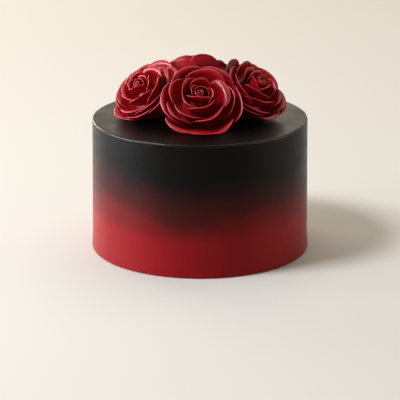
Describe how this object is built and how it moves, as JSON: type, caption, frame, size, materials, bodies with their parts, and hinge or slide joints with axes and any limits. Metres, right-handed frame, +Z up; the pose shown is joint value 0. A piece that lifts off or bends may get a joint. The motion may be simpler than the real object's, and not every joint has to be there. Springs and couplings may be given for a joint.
{
  "type": "ombre cake",
  "caption": "Tall round cake in smooth icing that fades from red at the foot to black at the top, with sugar roses leaning outwards on its top.",
  "frame": {"origin": "centre of the flat foot that the cake stands on", "axes": "+Z up along the cake's axis, the front with the lowest rose looks along -Y, +X to the right seen from the front"},
  "size_m": [0.156, 0.156, 0.1378],
  "materials": {
    "icing": "smooth satin icing, black at the top fading to red at the foot",
    "sugar_paste": "crimson sugar paste petals with a soft sheen"
  },
  "bodies": {
    "root": {"cake": "icing", "rose_front": "sugar_paste", "rose_left": "sugar_paste", "rose_right": "sugar_paste", "rose_back": "sugar_paste"}
  },
  "joints": []
}
